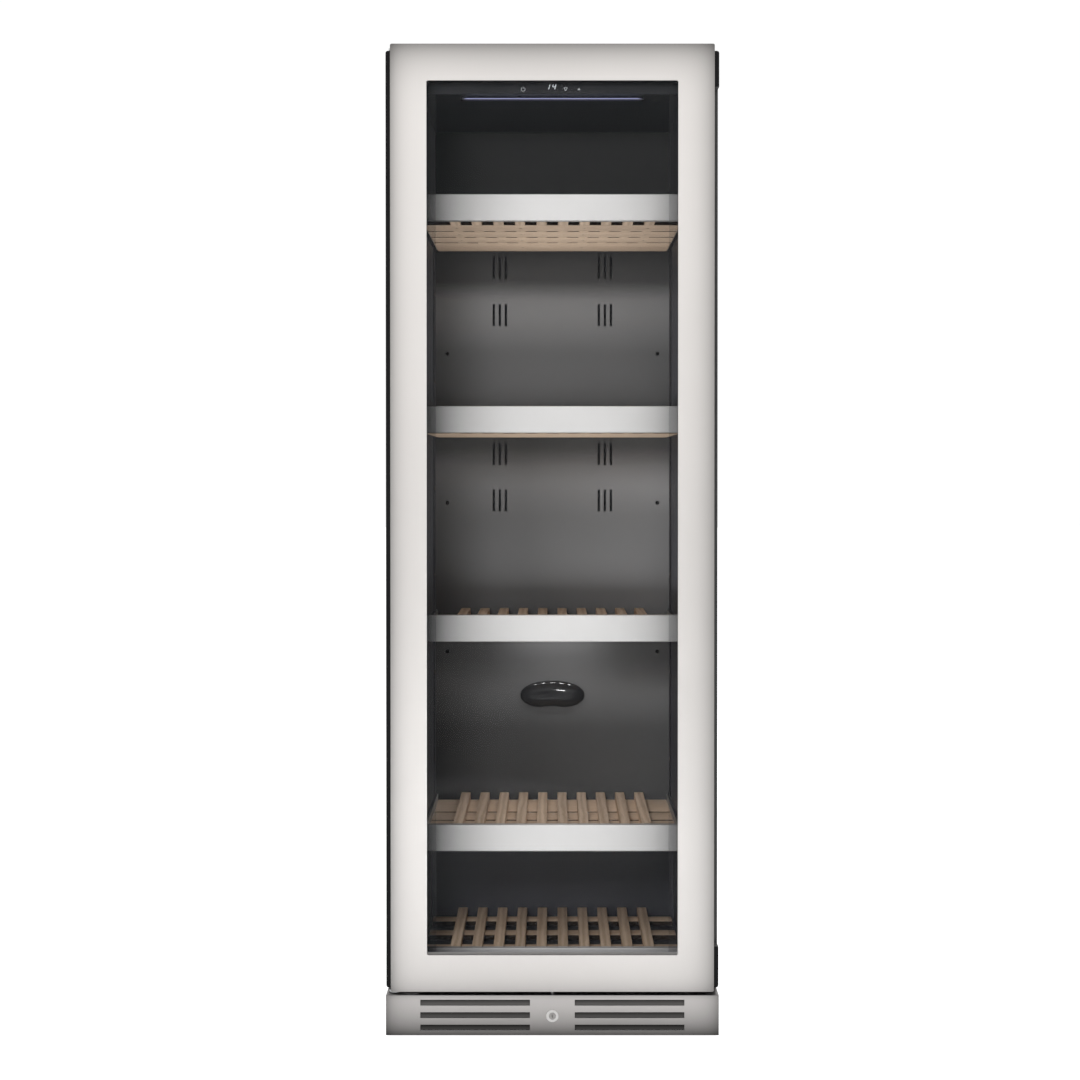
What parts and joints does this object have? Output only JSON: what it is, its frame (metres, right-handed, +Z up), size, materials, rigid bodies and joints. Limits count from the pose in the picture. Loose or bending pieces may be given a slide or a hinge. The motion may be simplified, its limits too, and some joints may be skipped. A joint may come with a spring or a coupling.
{
  "type": "wine cooler",
  "caption": "Tall freestanding wine cooler with a framed glass door hinged on the left, wooden pull-out shelves, slotted lockable kickplate and rear cooling machinery.",
  "frame": {"origin": "on the floor, under the middle of the cabinet's bounding box", "axes": "+Z up, -Y out of the door front, +X to the right as seen from the front"},
  "size_m": [0.595, 0.68, 1.775],
  "materials": {
    "stainless": "satin",
    "aluminium": "satin",
    "zinc_steel": "satin",
    "fins": "satin",
    "copper": "satin",
    "black_enamel": "satin",
    "black_plastic": "satin",
    "gloss_black": "gloss",
    "grey_plastic": "matte",
    "rubber": "matte",
    "beech": "satin",
    "insulation": "matte",
    "diffuser": "satin",
    "glass": "gloss"
  },
  "bodies": {
    "cabinet": {"outer_shell": "black_enamel", "rear_panel": "zinc_steel", "machine_cover": "black_plastic", "base_pan": "zinc_steel", "insulation_foam": "insulation", "inner_liner": "black_plastic", "front_frame": "black_plastic", "back_duct_panel": "grey_plastic", "duct_cover": "gloss_black", "evaporator_coil": "fins", "evaporator_fan_shroud": "black_plastic", "condenser_fan_shroud": "black_plastic", "condenser_coil": "black_enamel", "compressor": "black_enamel", "drain_tray": "black_plastic", "discharge_line": "copper", "mains_inlet": "black_plastic", "control_housing": "gloss_black", "display_panel": "gloss_black", "light_diffuser": "diffuser", "left_shelf_rails": "black_enamel", "right_shelf_rails": "black_enamel", "bottom_shelf_trim": "aluminium", "bottom_shelf_rack": "beech", "top_hinge_bracket": "zinc_steel", "bottom_hinge_bracket": "zinc_steel", "kickplate": "stainless", "lock_housing": "stainless"},
    "door": {"door_skin": "stainless", "door_core": "black_plastic", "outer_glass": "glass", "inner_glass": "glass", "glass_spacer": "black_plastic", "door_gasket": "rubber", "top_hinge_bush": "grey_plastic", "bottom_hinge_bush": "grey_plastic"},
    "shelf_1": {"shelf_1_trim": "aluminium", "shelf_1_rack": "beech", "shelf_1_left_runner": "zinc_steel", "shelf_1_right_runner": "zinc_steel"},
    "shelf_2": {"shelf_2_trim": "aluminium", "shelf_2_rack": "beech", "shelf_2_left_runner": "zinc_steel", "shelf_2_right_runner": "zinc_steel"},
    "shelf_3": {"shelf_3_trim": "aluminium", "shelf_3_rack": "beech", "shelf_3_left_runner": "zinc_steel", "shelf_3_right_runner": "zinc_steel"},
    "shelf_4": {"shelf_4_trim": "aluminium", "shelf_4_rack": "beech", "shelf_4_left_runner": "zinc_steel", "shelf_4_right_runner": "zinc_steel"},
    "lock_barrel": {"lock_barrel": "zinc_steel"},
    "lock_bolt": {"lock_bolt": "zinc_steel"},
    "evaporator_fan": {"evaporator_fan": "grey_plastic"},
    "condenser_fan": {"condenser_fan": "grey_plastic"},
    "left_front_foot": {"left_front_foot": "rubber"},
    "right_front_foot": {"right_front_foot": "rubber"},
    "left_rear_foot": {"left_rear_foot": "rubber"},
    "right_rear_foot": {"right_rear_foot": "rubber"}
  },
  "joints": [
    {"name": "door_hinge", "type": "hinge", "parent": "cabinet", "child": "door", "pos_m": [-0.282, -0.318, 0.9], "axis": [0, 0, -1], "range_deg": [0, 110]},
    {"name": "shelf_1_slide", "type": "slide", "parent": "cabinet", "child": "shelf_1", "axis": [0, -1, 0], "range_m": [0, 0.36]},
    {"name": "shelf_2_slide", "type": "slide", "parent": "cabinet", "child": "shelf_2", "axis": [0, -1, 0], "range_m": [0, 0.36]},
    {"name": "shelf_3_slide", "type": "slide", "parent": "cabinet", "child": "shelf_3", "axis": [0, -1, 0], "range_m": [0, 0.36]},
    {"name": "shelf_4_slide", "type": "slide", "parent": "cabinet", "child": "shelf_4", "axis": [0, -1, 0], "range_m": [0, 0.36]},
    {"name": "lock_turn", "type": "hinge", "parent": "cabinet", "child": "lock_barrel", "pos_m": [0, -0.33, 0.0415], "axis": [0, 1, 0], "range_deg": [0, 90]},
    {"name": "lock_bolt_lift", "type": "slide", "parent": "cabinet", "child": "lock_bolt", "axis": [0, 0, 1], "range_m": [0, 0.01]},
    {"name": "evaporator_fan_spin", "type": "hinge", "parent": "cabinet", "child": "evaporator_fan", "pos_m": [0, 0.27, 0.7], "axis": [0, -1, 0], "continuous": true},
    {"name": "condenser_fan_spin", "type": "hinge", "parent": "cabinet", "child": "condenser_fan", "pos_m": [-0.05, 0.245, 0.12], "axis": [-1, 0, 0], "continuous": true},
    {"name": "left_front_foot_screw", "type": "slide", "parent": "cabinet", "child": "left_front_foot", "axis": [0, 0, -1], "range_m": [0, 0.02]},
    {"name": "right_front_foot_screw", "type": "slide", "parent": "cabinet", "child": "right_front_foot", "axis": [0, 0, -1], "range_m": [0, 0.02]},
    {"name": "left_rear_foot_screw", "type": "slide", "parent": "cabinet", "child": "left_rear_foot", "axis": [0, 0, -1], "range_m": [0, 0.02]},
    {"name": "right_rear_foot_screw", "type": "slide", "parent": "cabinet", "child": "right_rear_foot", "axis": [0, 0, -1], "range_m": [0, 0.02]}
  ],
  "couplings": [
    {"joint": "shelf_1_slide", "follows": "door_hinge", "m_per_rad": 0.06},
    {"joint": "shelf_2_slide", "follows": "door_hinge", "m_per_rad": 0.06},
    {"joint": "shelf_3_slide", "follows": "door_hinge", "m_per_rad": 0.06},
    {"joint": "shelf_4_slide", "follows": "door_hinge", "m_per_rad": 0.06},
    {"joint": "lock_bolt_lift", "follows": "lock_turn", "m_per_rad": 0.00636}
  ]
}
